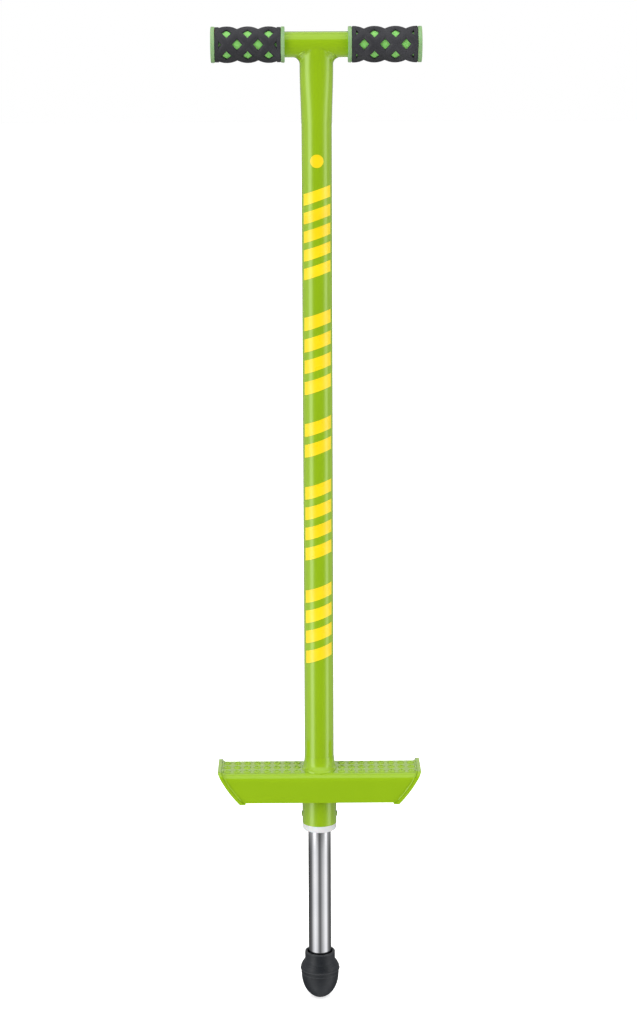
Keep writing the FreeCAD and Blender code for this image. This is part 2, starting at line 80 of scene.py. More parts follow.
class Shade:
    """A material whose nodes are added one by one."""

    def __init__(self, name, slot_name=None):
        self.material = bpy.data.materials.new(name)
        self.material.use_nodes = True
        self.tree = self.material.node_tree
        self.surface = self.tree.nodes["Principled BSDF"]
        self.point = self.node("ShaderNodeTexCoord").outputs["Object"]

    def node(self, kind, **values):
        made = self.tree.nodes.new(kind)
        for key, value in values.items():
            setattr(made, key, value)
        return made

    def link(self, source, target):
        self.tree.links.new(source, target)

    def set(self, **values):
        for key, value in values.items():
            self.surface.inputs[key.replace("_", " ")].default_value = value

    def noise(self, scale, detail=3.0, stretch=(1, 1, 1), roughness=0.5):
        mapping = self.node("ShaderNodeMapping")
        mapping.inputs["Scale"].default_value = stretch
        self.link(self.point, mapping.inputs["Vector"])
        noise = self.node("ShaderNodeTexNoise")
        noise.inputs["Scale"].default_value = scale
        noise.inputs["Detail"].default_value = detail
        noise.inputs["Roughness"].default_value = roughness
        self.link(mapping.outputs["Vector"], noise.inputs["Vector"])
        return noise.outputs["Fac"]

    def ramp(self, factor, stops):
        ramp = self.node("ShaderNodeValToRGB")
        elements = ramp.color_ramp.elements
        while len(elements) < len(stops):
            elements.new(0.5)
        for element, (place, colour) in zip(elements, stops):
            element.position = place
            if not hasattr(colour, "__len__"):
                colour = (colour, colour, colour)
            element.color = (*colour, 1)
        self.link(factor, ramp.inputs["Fac"])
        return ramp.outputs["Color"]

    def spread(self, factor, low, high, from_low=0.3, from_high=0.7):
        reach = self.node("ShaderNodeMapRange")
        reach.inputs["From Min"].default_value = from_low
        reach.inputs["From Max"].default_value = from_high
        reach.inputs["To Min"].default_value = low
        reach.inputs["To Max"].default_value = high
        self.link(factor, reach.inputs["Value"])
        return reach.outputs["Result"]

    def math(self, operation, first, second):
        made = self.node("ShaderNodeMath", operation=operation)
        for socket, value in zip(made.inputs, (first, second)):
            if isinstance(value, (int, float)):
                socket.default_value = value
            else:
                self.link(value, socket)
        return made.outputs[0]

    def mix(self, factor, first, second, blend="MIX"):
        made = self.node("ShaderNodeMix", data_type="RGBA", blend_type=blend)
        colours = [s for s in made.inputs if s.type == "RGBA"]
        for socket, value in ((made.inputs["Factor"], factor), (colours[0], first), (colours[1], second)):
            if isinstance(value, (int, float)):
                socket.default_value = value
            elif isinstance(value, tuple):
                socket.default_value = (*value, 1)
            else:
                self.link(value, socket)
        return next(s for s in made.outputs if s.type == "RGBA")

    def colour(self, source):
        self.link(source, self.surface.inputs["Base Color"])

    def roughness(self, source):
        self.link(source, self.surface.inputs["Roughness"])

    def bump(self, height, distance, strength=1.0, under=None):
        made = self.node("ShaderNodeBump")
        made.inputs["Distance"].default_value = distance
        made.inputs["Strength"].default_value = strength
        self.link(height, made.inputs["Height"])
        if under is not None:
            self.link(under, made.inputs["Normal"])
        self.link(made.outputs["Normal"], self.surface.inputs["Normal"])
        return made.outputs["Normal"]


# ---------------------------------------------------------------- materials


def green_paint():
    """Glossy lime powder coat: slight orange peel, faint tone drift and a few rubbed spots."""
    shade = Shade("green_paint")
    drift = shade.noise(9, 4)
    tone = shade.ramp(drift, [(0.3, (0.252, 0.432, 0.003)), (0.7, (0.290, 0.482, 0.005))])
    speck = shade.ramp(shade.noise(420, 2), [(0.68, 0.0), (0.74, 1.0)])
    dusty = shade.math("MULTIPLY", speck, 0.10)
    shade.colour(shade.mix(dusty, tone, (0.38, 0.56, 0.05)))
    shade.roughness(shade.spread(shade.noise(35, 5), 0.16, 0.26))
    shade.set(Specular_IOR_Level=0.5, Specular_Tint=(0.7, 1.0, 0.2, 1))
    shade.set(Coat_Weight=1.0, Coat_Roughness=0.04, Coat_IOR=1.6)
    peel = shade.bump(shade.noise(520, 2), 0.00006, 0.5)
    shade.bump(shade.noise(60, 3), 0.00025, 0.35, peel)
    return shade.material


FLANGE_RIM = (15.0 * MM, 16.5 * MM)      # radii between which the painted dull reflection on the flanges sets in


def grip_green():
    """Light green moulded plastic with a fine satin grain; the flanges' rims are painted greyer and darker
    as a painted dull reflection.
    """
    shade = Shade("grip_green")
    moulded = shade.ramp(shade.noise(30, 3), [(0.3, (0.220, 0.595, 0.128)), (0.7, (0.280, 0.700, 0.172))])
    # painted reflection: the flanges' rims are coloured greyer and darker to stand in for a dull highlight
    painted_rim_reflection = shade.ramp(shade.noise(45, 4), [(0.3, (0.205, 0.370, 0.150)), (0.7, (0.275, 0.450, 0.205))])
    across = shade.node("ShaderNodeMapping")
    across.inputs["Location"].default_value = (0, 0, -BAR_Z)
    across.inputs["Scale"].default_value = (0, 1, 1)
    shade.link(shade.point, across.inputs["Vector"])
    reach = shade.node("ShaderNodeVectorMath", operation="LENGTH")
    shade.link(across.outputs["Vector"], reach.inputs[0])
    rim = shade.spread(reach.outputs["Value"], 0.0, 1.0, *FLANGE_RIM)
    shade.colour(shade.mix(rim, moulded, painted_rim_reflection))
    shade.roughness(shade.spread(shade.noise(90, 4), 0.34, 0.5))
    shade.set(IOR=1.46, Subsurface_Weight=0.08, Subsurface_Scale=0.004)
    shade.bump(shade.noise(900, 2), 0.00005, 0.5)
    return shade.material


def soft_rubber(name, dark, light, rough, highlight_heights=()):
    """Moulded rubber: matt, with fine pores, paler patches, dust, and pale bands at given heights that are
    painted highlights.
    """
    shade = Shade(name)
    patches = shade.noise(24, 6)
    tone = shade.ramp(patches, [(0.35, dark), (0.72, light)])
    dust = shade.ramp(shade.noise(650, 2), [(0.62, 0.0), (0.72, 1.0)])
    tone = shade.mix(shade.math("MULTIPLY", dust, 0.18), tone, (0.09, 0.085, 0.08))
    # painted highlights: pale bands at these heights, broken up by noise, stand in for light caught by the
    # edges
    for height, half, amount in highlight_heights:
        split = shade.node("ShaderNodeSeparateXYZ")
        shade.link(shade.point, split.inputs[0])
        off = shade.math("ABSOLUTE", shade.math("SUBTRACT", split.outputs["Z"], height), 0.0)
        near = shade.spread(off, amount, 0.0, 0.5 * half, half)
        painted_highlight = shade.math("MULTIPLY", near, shade.spread(shade.noise(60, 4), 0.55, 1.0))
        tone = shade.mix(painted_highlight, tone, (0.20, 0.205, 0.215))
    shade.colour(tone)
    shade.roughness(shade.spread(shade.noise(70, 5), *rough))
    shade.set(IOR=1.45)
    pores = shade.bump(shade.noise(1100, 3), 0.00008, 0.6)
    shade.bump(shade.noise(130, 4), 0.00022, 0.45, pores)
    return shade.material


def chrome():
    """Bright chrome plate with fine scratches along the stroke and faint handling smears."""
    shade = Shade("chrome")
    smear = shade.noise(26, 5)
    shade.colour(shade.ramp(smear, [(0.3, (0.56, 0.565, 0.59)), (0.7, (0.63, 0.63, 0.645))]))
    lines = shade.noise(900, 2, (1, 1, 0.03))
    drag = shade.spread(lines, 0.0, 0.03)
    shade.roughness(shade.math("ADD", shade.spread(smear, 0.02, 0.05), drag))
    shade.set(Metallic=1.0)
    shade.bump(lines, 0.00001, 0.5)
    return shade.material


def steel(name, low, high, rough, stretch):
    """Bare or plated steel with tool marks."""
    shade = Shade(name)
    shade.colour(shade.ramp(shade.noise(45, 5), [(0.3, low), (0.7, high)]))
    marks = shade.noise(700, 3, stretch)
    shade.roughness(shade.spread(marks, *rough))
    shade.set(Metallic=1.0)
    shade.bump(marks, 0.00003, 0.6)
    return shade.material


def white_nylon():
    """Waxy white nylon, a little grubby in places."""
    shade = Shade("white_nylon")
    tone = shade.ramp(shade.noise(60, 5), [(0.3, (0.70, 0.71, 0.72)), (0.65, (0.77, 0.78, 0.79))])
    shade.colour(tone)
    shade.roughness(shade.spread(shade.noise(140, 4), 0.36, 0.52))
    shade.set(IOR=1.53, Subsurface_Weight=0.15, Subsurface_Scale=0.003)
    shade.bump(shade.noise(700, 2), 0.00005, 0.4)
    return shade.material


def yellow_print():
    """Screen-printed yellow with a slightly uneven ink film."""
    shade = Shade("yellow_print")
    tone = shade.ramp(shade.noise(38, 4), [(0.3, (0.90, 0.66, 0.0)), (0.7, (0.98, 0.74, 0.004))])
    shade.colour(tone)
    shade.roughness(shade.spread(shade.noise(55, 4), 0.24, 0.38))
    shade.set(IOR=1.5, Coat_Weight=0.6, Coat_Roughness=0.1, Coat_IOR=1.5)
    shade.bump(shade.noise(480, 2), 0.00005, 0.5)
    return shade.material


# Painted highlights along the tip's edges: height, half width and how strong
TIP_PAINTED_HIGHLIGHTS = [(TIP_RIDGE_Z - 0.6 * MM, 1.2 * MM, 0.1), (TIP_DOME + 0.9 * MM, 0.8 * MM, 0.12),
            (TIP_HIGH.z - 0.4 * MM, 0.9 * MM, 0.12)]

MATERIALS = {
    "green_paint": green_paint(),
    "grip_green": grip_green(),
    "grip_rubber": soft_rubber("grip_rubber", (0.019, 0.019, 0.023), (0.042, 0.042, 0.049), (0.5, 0.72)),
    "tip_rubber": soft_rubber("tip_rubber", (0.008, 0.010, 0.013), (0.016, 0.019, 0.024), (0.36, 0.52),
                              TIP_PAINTED_HIGHLIGHTS),
    "bumper_rubber": soft_rubber("bumper_rubber", (0.015, 0.015, 0.015), (0.03, 0.03, 0.03), (0.6, 0.8)),
    "chrome": chrome(),
    "turned_steel": steel("turned_steel", (0.42, 0.42, 0.43), (0.55, 0.55, 0.56), (0.25, 0.4), (1, 1, 9)),
    "zinc_steel": steel("zinc_steel", (0.5, 0.5, 0.49), (0.64, 0.64, 0.62), (0.3, 0.48), (3, 3, 3)),
    "spring_steel": steel("spring_steel", (0.1, 0.1, 0.105), (0.2, 0.2, 0.21), (0.3, 0.5), (2, 2, 2)),
    "white_nylon": white_nylon(),
    "yellow_print": yellow_print(),
}

SLOT_OF = {part["node"]: part["material_slot"] for part in frame["record"]["subparts"]}


def paint_cad_nodes():
    """Every CAD node gets the finish of its slot in the record."""
    for name, node in NODES.items():
        node.data.materials.clear()
        node.data.materials.append(MATERIALS[SLOT_OF[name]])


# ---------------------------------------------------------------- mesh helpers


def finish_piece(name, mesh, slot_name, body, *replaced):
    """Object with the slot's material, riding on its body and standing for CAD nodes."""
    mesh.normal_update()
    data = bpy.data.meshes.new(name)
    mesh.to_mesh(data)
    mesh.free()
    piece = bpy.data.objects.new(name, data)
    bpy.context.scene.collection.objects.link(piece)
    for face in data.polygons:
        face.use_smooth = True
    data.materials.append(MATERIALS[slot_name])
    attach(piece, body)
    if replaced:
        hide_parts(*replaced)
    return piece


def crease_sharp(piece, degrees):
    """Keep edges sharper than this as edges in the shading."""
    mesh = bmesh.new()
    mesh.from_mesh(piece.data)
    for edge in mesh.edges:
        edge.smooth = len(edge.link_faces) == 2 and edge.calc_face_angle(0) < math.radians(degrees)
    mesh.to_mesh(piece.data)
    mesh.free()


def lathe(mesh, profile, segments, place=Matrix.Identity(4), closed=True):
    """Turn a closed profile of (radius, height) points about Z; a point on the axis becomes a pole."""
    rings = []
    for radius, height in profile:
        if radius < 1e-7:
            rings.append([mesh.verts.new(place @ Vector((0, 0, height)))])
            continue
        ring = []
        for i in range(segments):
            angle = TAU * i / segments
            ring.append(mesh.verts.new(
                place @ Vector((radius * math.cos(angle), radius * math.sin(angle), height))))
        rings.append(ring)
    pairs = list(zip(rings, rings[1:]))
    if closed:
        pairs.append((rings[-1], rings[0]))
    for low, high in pairs:
        for i in range(segments):
            j = (i + 1) % segments
            corners = [low[i % len(low)], low[j % len(low)], high[j % len(high)], high[i % len(high)]]
            unique = list(dict.fromkeys(corners))
            if len(unique) > 2:
                mesh.faces.new(unique)


def arc_points(centre, radius, start, end, count):
    """Points on an arc in the profile plane, angles in degrees."""
    points = []
    for i in range(count + 1):
        angle = math.radians(start + (end - start) * i / count)
        points.append((centre[0] + radius * math.cos(angle), centre[1] + radius * math.sin(angle)))
    return points


def curve_points(start, handle, end, count):
    """Points on a parabolic curve that leaves start towards handle and comes into end from it."""
    points = []
    for i in range(1, count + 1):
        t = i / count
        points.append(tuple(a * (1 - t) ** 2 + 2 * b * t * (1 - t) + c * t * t
                            for a, b, c in zip(start, handle, end)))
    return points


def skin_round(mesh, line_at, segments):
    """Closed skin through one closed line of points for each bearing about Z."""
    lines = []
    for i in range(segments):
        lines.append([mesh.verts.new(point) for point in line_at(TAU * i / segments)])
    for near, far in zip(lines, lines[1:] + lines[:1]):
        for k in range(len(near)):
            n = (k + 1) % len(near)
            mesh.faces.new((near[k], near[n], far[n], far[k]))
    bmesh.ops.recalc_face_normals(mesh, faces=mesh.faces)


# ---------------------------------------------------------------- upright and its weld skirt

SQUEEZE_LOW = 900 * MM
SQUEEZE_HIGH = 960 * MM
OVAL = (16.3 * MM, 12.0 * MM)            # half widths where the upright meets the handlebar
TEE_WELD_R = 6.0 * MM
TEE_WELD_STEPS = 10
TEE_RIPPLE = 0.12 * MM


def upright_halves(z, inset):
    """Half widths of the upright's section at a height, along X and Y."""
    share = min(1.0, max(0.0, (z - SQUEEZE_LOW) / (SQUEEZE_HIGH - SQUEEZE_LOW)))
    share = share * share * (3 - 2 * share)
    return [UPRIGHT_R + (half - UPRIGHT_R) * share - inset for half in OVAL]


def oval_point(halves, angle, z):
    return Vector((halves[0] * math.cos(angle), halves[1] * math.sin(angle), z))


def upright_line(angle):
    """Line round the upright's wall at a bearing: up outside, over the weld and down inside."""
    steps = 20
    rise = (SQUEEZE_HIGH - SQUEEZE_LOW) / steps
    heights = [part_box("main_tube")[0].z] + [SQUEEZE_LOW + rise * k for k in range(steps + 1)]
    line = [oval_point(upright_halves(z, 0), angle, z) for z in heights]
    out = Vector((math.cos(angle) / OVAL[0], math.sin(angle) / OVAL[1], 0)).normalized()
    centre = oval_point(OVAL, angle, 0) + out * TEE_WELD_R
    centre.z = BAR_Z - math.sqrt((BAR_R + TEE_WELD_R) ** 2 - centre.y ** 2)
    to_bar = Vector((0, -centre.y, BAR_Z - centre.z)).normalized()
    for k in range(TEE_WELD_STEPS + 1):
        share = k / TEE_WELD_STEPS
        ripple = TEE_RIPPLE * math.sin(math.pi * share) * math.sin(18 * angle + 0.8 * math.sin(5 * angle))
        line.append(centre + (-out).slerp(to_bar, share) * (TEE_WELD_R + ripple))
    rim = line[-1]
    bore = oval_point([half - UPRIGHT_WALL for half in OVAL], angle, 0)
    for k in range(1, 4):
        point = rim.lerp(bore, k / 3)
        point.z = BAR_Z - math.sqrt(BAR_R ** 2 - point.y ** 2)
        line.append(point)
    line += [oval_point(upright_halves(z, UPRIGHT_WALL), angle, z) for z in heights[::-1]]
    return line


def make_upright():
    mesh = bmesh.new()
    skin_round(mesh, upright_line, 144)
    piece = finish_piece("upright_skin", mesh, "green_paint", "frame", "main_tube")
    crease_sharp(piece, 40)


SKIRT_TOP = SHEET_TOP + 14 * MM
SKIRT_SIDE_R = 18.0 * MM
SKIRT_FRONT_R = 23.0 * MM
SKIRT_RIPPLE = 0.10 * MM
SKIRT_SINK = 0.15 * MM       # how far the weld goes into the sheet


def sheet_height(y):
    """Height of the foot channel's upper side, which bends down at the front and back."""
    past = max(0.0, abs(y) - (CHANNEL_HIGH.y - CHANNEL_EDGE))
    return SHEET_TOP - CHANNEL_EDGE + math.sqrt(CHANNEL_EDGE ** 2 - past ** 2)


def skirt_line(angle):
    """Section of the weld skirt at a bearing: down its flare, round its lip and back up inside."""
    reach = SKIRT_SIDE_R + (SKIRT_FRONT_R - SKIRT_SIDE_R) * math.sin(angle) ** 2
    reach += SKIRT_RIPPLE * math.sin(17 * angle + math.sin(3 * angle))
    base = sheet_height(reach * math.sin(angle)) - SKIRT_SINK
    inner_base = SHEET_TOP - SKIRT_SINK
    lip = (reach - 1.5 * MM, base + 2.1 * MM)
    section = [(UPRIGHT_R - 0.1 * MM, inner_base), (UPRIGHT_R - 0.1 * MM, SKIRT_TOP)]
    waist = (UPRIGHT_R + 0.7 * MM, SHEET_TOP + 4.6 * MM)
    section += curve_points((UPRIGHT_R + 0.02 * MM, SKIRT_TOP), waist, lip, 14)
    section += curve_points(lip, (reach - 0.1 * MM, base + 1.5 * MM), (reach, base), 6)
    return [Vector((r * math.cos(angle), r * math.sin(angle), z)) for r, z in section]


def make_weld_skirt():
    mesh = bmesh.new()
    skin_round(mesh, skirt_line, 144)
    piece = finish_piece("weld_skirt", mesh, "green_paint", "frame", "tube_weld_bell")
    crease_sharp(piece, 60)


# ---------------------------------------------------------------- rubber tip

TIP_BODY_R = 19.4 * MM
TIP_NECK_R = 15.7 * MM
TIP_NECK_LOW = 42.3 * MM
TIP_MOUTH_R = 13.2 * MM
TIP_MOUTH_LOW = 45.0 * MM    # where the mouth narrows to the rod
TIP_SOCKET_LOW = 17.0 * MM   # floor of the rod's socket
TIP_BEAD_R = 1.0 * MM


def tip_section():
    """Half section of the rubber foot, from its lowest point up outside and down the bore."""
    ridge_r = TIP_HIGH.y - 0.05 * MM
    section = []
    for k in range(25):
        angle = math.pi / 2 * k / 24
        section.append((TIP_BODY_R * math.sin(angle), TIP_DOME * (1 - math.cos(angle))))
    section += arc_points((TIP_BODY_R, TIP_DOME + 0.8 * MM), 0.28 * MM, -90, 90, 6)
    bead = (ridge_r - TIP_BEAD_R, TIP_RIDGE_Z - 0.9 * MM)
    section += [(TIP_BODY_R - 0.1 * MM, bead[1] - 1.5 * MM)]
    section += arc_points(bead, TIP_BEAD_R, -90, 70, 9)
    crest = (ridge_r - 0.75 * MM, TIP_RIDGE_Z + 2.4 * MM)
    section += curve_points(section[-1], (ridge_r - 0.15 * MM, TIP_RIDGE_Z + 0.5 * MM), crest, 5)
    for share in (0.32, 0.62):
        ring = (crest[0] + (TIP_NECK_R - crest[0]) * share, crest[1] + (TIP_NECK_LOW - crest[1]) * share)
        section += arc_points(ring, 0.3 * MM, -25, 125, 4)
    neck_foot = (TIP_NECK_R, TIP_NECK_LOW + 0.6 * MM)
    section += curve_points(section[-1], (TIP_NECK_R + 0.3 * MM, TIP_NECK_LOW - 0.6 * MM), neck_foot, 4)
    section += arc_points((TIP_NECK_R - TIP_BEAD_R, TIP_HIGH.z - TIP_BEAD_R), TIP_BEAD_R, 0, 90, 6)
    section += arc_points((TIP_MOUTH_R + 0.6 * MM, TIP_HIGH.z - 0.6 * MM), 0.6 * MM, 90, 180, 4)
    section += [(TIP_MOUTH_R, TIP_MOUTH_LOW), (ROD_R, TIP_MOUTH_LOW)]
    section += [(ROD_R, TIP_SOCKET_LOW), (0, TIP_SOCKET_LOW)]
    return section


def make_tip():
    mesh = bmesh.new()
    lathe(mesh, tip_section(), 128, closed=False)
    bmesh.ops.recalc_face_normals(mesh, faces=mesh.faces)
    piece = finish_piece("tip_boot", mesh, "tip_rubber", "plunger", "rubber_tip")
    crease_sharp(piece, 55)


# ---------------------------------------------------------------- lattice grips

GRIP_R = (LATTICE_HIGH.z - LATTICE_LOW.z) / 2
CORE_R = 14.2 * MM
LATTICE_HALF = (LATTICE_HIGH.x - LATTICE_LOW.x) / 2
LATTICE_MID = (LATTICE_HIGH.x + LATTICE_LOW.x) / 2
ROWS = 8
STEP_ALONG = 10.1 * MM
STEP_AROUND = TAU / ROWS
HOLE_SHARE = 0.235           # half a window's width, in steps of the net
STRAND_DROP = 2.5 * MM       # how far a strand's sides fall away from its crown
END_RING_WIDTH = 4.1 * MM
END_RING_DROP = 0.6 * MM
END_RING_EDGE = 0.9 * MM


def strand_height(p, q):
    """Radius of the rubber at a lattice place, where windows are squares round whole numbers."""
    heights = []
    for value in (p, q):
        off = abs(value - math.floor(value) - 0.5) / (0.5 - HOLE_SHARE)
        if off <= 1 + 1e-6:
            heights.append(STRAND_DROP * (1 - math.sqrt(max(0.0, 1 - 0.93 * off * off))))
    return GRIP_R - min(heights)


def lattice_mesh(mesh, shift):
    """Net of rounded rubber strands with diamond windows, and a ring at each end."""
    strand = 1 - 2 * HOLE_SHARE
    fine = [HOLE_SHARE + strand * (0.5 - 0.5 * math.cos(math.pi * i / 10)) for i in range(11)]
    coarse = [-HOLE_SHARE + 2 * HOLE_SHARE * i / 6 for i in range(7)]
    places = coarse + fine[1:]
    reach = LATTICE_HALF * 1.02

    def lift(p, q, low):
        along = (p + q) * STEP_ALONG + shift
        around = (p - q) * STEP_AROUND
        radius = CORE_R + 0.03 * MM if low else strand_height(p, q)
        return Vector((along, -radius * math.cos(around), radius * math.sin(around)))

    def quad(points, flip):
        verts = [mesh.verts.new(point) for point in points]
        mesh.faces.new(verts[::-1] if flip else verts)

    for row in range(ROWS):
        for column in range(-5, 6):
            if (row + column) % 2:
                continue
            i, j = (column + row) // 2, (column - row) // 2
            if abs(column * STEP_ALONG + shift) > reach + 1.1 * STEP_ALONG:
                continue
            for a in range(len(places) - 1):
                for b in range(len(places) - 1):
                    if places[a + 1] <= HOLE_SHARE + 1e-9 and places[b + 1] <= HOLE_SHARE + 1e-9:
                        continue
                    corners = [(i + places[a], j + places[b]), (i + places[a + 1], j + places[b]),
                               (i + places[a + 1], j + places[b + 1]), (i + places[a], j + places[b + 1])]
                    quad([lift(p, q, False) for p, q in corners], False)
                    quad([lift(p, q, True) for p, q in corners], True)
            edge = HOLE_SHARE
            for k in range(6):
                s, t = coarse[k], coarse[k + 1]
                for (p0, q0), (p1, q1) in (((s, -edge), (t, -edge)), ((edge, s), (edge, t)),
                                           ((t, edge), (s, edge)), ((-edge, t), (-edge, s))):
                    quad([lift(i + p0, j + q0, False), lift(i + p1, j + q1, False),
                          lift(i + p1, j + q1, True), lift(i + p0, j + q0, True)], False)
    bmesh.ops.remove_doubles(mesh, verts=mesh.verts, dist=0.004 * MM)
    for side in (-1, 1):
        parts = list(mesh.verts) + list(mesh.edges) + list(mesh.faces)
        bmesh.ops.bisect_plane(mesh, geom=parts, plane_co=(side * (LATTICE_HALF - 0.5 * MM), 0, 0),
                               plane_no=(side, 0, 0), clear_outer=True)
    bmesh.ops.holes_fill(mesh, edges=[e for e in mesh.edges if e.is_boundary], sides=0)
    bmesh.ops.recalc_face_normals(mesh, faces=mesh.faces)
    turn = Matrix.Rotation(math.pi / 2, 4, "Y")
    for side in (-1, 1):
        end = side * LATTICE_HALF
        inner = side * (LATTICE_HALF - END_RING_WIDTH)
        r, c = GRIP_R - END_RING_DROP, END_RING_EDGE
        out = [(CORE_R + 0.02 * MM, end), (r - c, end)]
        out += [(r - c + c * math.sin(x), end - side * c * (1 - math.cos(x)))
                for x in [math.pi / 8 * k for k in range(1, 5)]]
        out += [(r - 0.05 * MM, (end + inner) / 2)]
        out += [(r - c + c * math.cos(x), inner + side * c * (1 - math.sin(x)))
                for x in [math.pi / 8 * k for k in range(5)]]
        out += [(CORE_R + 0.02 * MM, inner)]
        lathe(mesh, out, 96, turn)
    bmesh.ops.recalc_face_normals(mesh, faces=mesh.faces)


def make_grips():
    for name, side, shift in (("right", 1, 0.0), ("left", -1, STEP_ALONG)):
        mesh = bmesh.new()
        lattice_mesh(mesh, shift)
        bmesh.ops.translate(mesh, verts=mesh.verts, vec=(side * LATTICE_MID, 0, BAR_Z))
        piece = finish_piece(name + "_grip_net", mesh, "grip_rubber", "frame", name + "_grip_lattice")
        crease_sharp(piece, 50)


# ---------------------------------------------------------------- spring


def make_spring():
    """Round-wire coil with closed ends."""
    wire = 2.0 * MM
    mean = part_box("main_spring")[1].y - wire
    low, high = SPRING_LOW.z + wire, SPRING_HIGH.z - wire
    closed_turns, turns, per_turn, around = 1.5, 33.0, 24, 10
    steps = int(turns * per_turn)
    dead = closed_turns * 2 * wire * 1.03
    mesh = bmesh.new()
    rings = []
    for k in range(steps + 1):
        turn = turns * k / steps
        if turn < closed_turns:
            z = low + dead * turn / closed_turns
        elif turn > turns - closed_turns:
            z = high - dead * (turns - turn) / closed_turns
        else:
            z = low + dead + (high - low - 2 * dead) * (turn - closed_turns) / (turns - 2 * closed_turns)
        angle = TAU * turn
        out = Vector((math.cos(angle), math.sin(angle), 0))
        ring = []
        for m in range(around):
            b = TAU * m / around
            lift = Vector((0, 0, z + wire * math.sin(b)))
            ring.append(mesh.verts.new(out * (mean + wire * math.cos(b)) + lift))
        rings.append(ring)
    for a, b in zip(rings, rings[1:]):
        for m in range(around):
            n = (m + 1) % around
            mesh.faces.new((a[m], a[n], b[n], b[m]))
    mesh.faces.new(rings[0])
    mesh.faces.new(rings[-1][::-1])
    bmesh.ops.recalc_face_normals(mesh, faces=mesh.faces)
    piece = finish_piece("spring_coil", mesh, "spring_steel", "frame", "main_spring")
    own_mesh(piece)


# ---------------------------------------------------------------- weld beads

END_PLATE = 3.0 * MM
END_ARC_RISE = 1.7 * MM
END_TOE_LENGTH = 6.0 * MM
SEAM_R = 1.0 * MM
TEE_BEAD_R = 1.05 * MM
TEE_BEAD_SINK = 0.35 * MM


def weld_bead(mesh, points, radius, ripple, seed):
    """Rippled bead of weld along a line of points, tapering at its ends."""
    around = 10
    rings = []
    for k, point in enumerate(points):
        ahead = points[min(k + 1, len(points) - 1)] - points[max(k - 1, 0)]
        turn = ahead.to_track_quat("Z", "Y")
        taper = min(1.0, 0.35 + 0.3 * min(k, len(points) - 1 - k))
        swell = 1 + 0.10 * math.sin(k * ripple) + 0.07 * math.sin(k * 0.61 + seed)
        ring = []
        for m in range(around):
            angle = TAU * m / around
            out = Vector((math.cos(angle), math.sin(angle), 0)) * radius * taper * swell
            ring.append(mesh.verts.new(point + turn @ out))
        rings.append(ring)
    for low, high in zip(rings, rings[1:]):
        for m in range(around):
            n = (m + 1) % around
            mesh.faces.new((low[m], low[n], high[n], high[m]))
    mesh.faces.new(rings[0][::-1])
    mesh.faces.new(rings[-1])


def end_plate_inner_x(z):
    """Where the inner face of the right end plate stands at a height."""
    low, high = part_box("right_foot_end_plate")
    top = Vector((high.x, high.z))
    toe = Vector((low.x + END_TOE_LENGTH, low.z))
    half_chord = (toe - top).length / 2
    radius = (half_chord ** 2 + END_ARC_RISE ** 2) / (2 * END_ARC_RISE)
    inward = Vector(((toe - top).y, -(toe - top).x)).normalized()
    centre = (top + toe) / 2 + inward * (radius - END_ARC_RISE)
    return centre.x + math.sqrt((radius - END_PLATE) ** 2 - (z - centre.y) ** 2)


def evenly(points, step):
    """The same line with points a step apart."""
    spaced = [points[0]]
    for start, end in zip(points, points[1:]):
        count = max(1, round((end - start).length / step))
        for k in range(1, count + 1):
            spaced.append(start.lerp(end, k / count))
    return spaced


def make_end_plate_seams():
    """Weld between each end plate and the channel: up the front, over the top and down the back."""
    half = CHANNEL_HIGH.y
    bend = half - CHANNEL_EDGE
    lowest = CHANNEL_LOW.z + 2.4 * MM
    line = [(-half, lowest), (-half, SHEET_TOP - CHANNEL_EDGE)]
    for k in range(1, 7):
        angle = math.pi / 2 * k / 6
        line.append((-bend - CHANNEL_EDGE * math.cos(angle),
                     SHEET_TOP - CHANNEL_EDGE * (1 - math.sin(angle))))
    line += [(-y, z) for y, z in line[::-1]]
    for name, side in (("right", 1), ("left", -1)):
        seam = evenly([Vector((0, y, z)) for y, z in line], 1.1 * MM)
        for point in seam:
            point.x = side * (end_plate_inner_x(point.z) - 0.55 * SEAM_R)
        mesh = bmesh.new()
        weld_bead(mesh, seam, SEAM_R, 1.9, side)
        finish_piece(name + "_end_plate_weld", mesh, "green_paint", "frame")


def make_tee_welds():
    """Lumps where the weld round the saddle was started and stopped, front and back."""
    reach, top = 23.0 * MM, math.radians(20)
    seat = BAR_R - TEE_BEAD_SINK
    for name, side, back in (("front_left", -1, -1), ("front_right", 1, -1),
                             ("back_left", -1, 1), ("back_right", 1, 1)):
        line = []
        for k in range(15):
            turn = math.radians(34 + 2.6 * k)
            down = top + (math.pi / 2 - top) * (1 - math.cos(turn))
            line.append(Vector((side * reach * math.sin(turn) * 0.86, back * seat * math.cos(down),
                                BAR_Z - seat * math.sin(down))))
        mesh = bmesh.new()
        weld_bead(mesh, evenly(line, 0.9 * MM), TEE_BEAD_R, 0.9, 3 * side + back)
        finish_piece("tee_weld_" + name, mesh, "green_paint", "frame")


# ---------------------------------------------------------------- stage

FLOOR_SIZE = 60
FLOOR_GLOW = 0.55


def make_stage():
    """Pale floor, a little self-lit so that it stays even."""
    bpy.ops.mesh.primitive_plane_add(size=FLOOR_SIZE, location=(0, 0, 0))
    floor = bpy.context.object
    floor.name = "floor"
    shade = Shade("floor")
    shade.colour(shade.ramp(shade.noise(3, 3), [(0.3, 0.86), (0.7, 0.9)]))
    shade.set(Roughness=0.9, Emission_Color=(1, 1, 1, 1), Emission_Strength=FLOOR_GLOW)
    floor.data.materials.append(shade.material)
    floor.visible_glossy = False
    floor.visible_diffuse = False
    floor.visible_shadow = False


WORLD_STRENGTH = 1.6
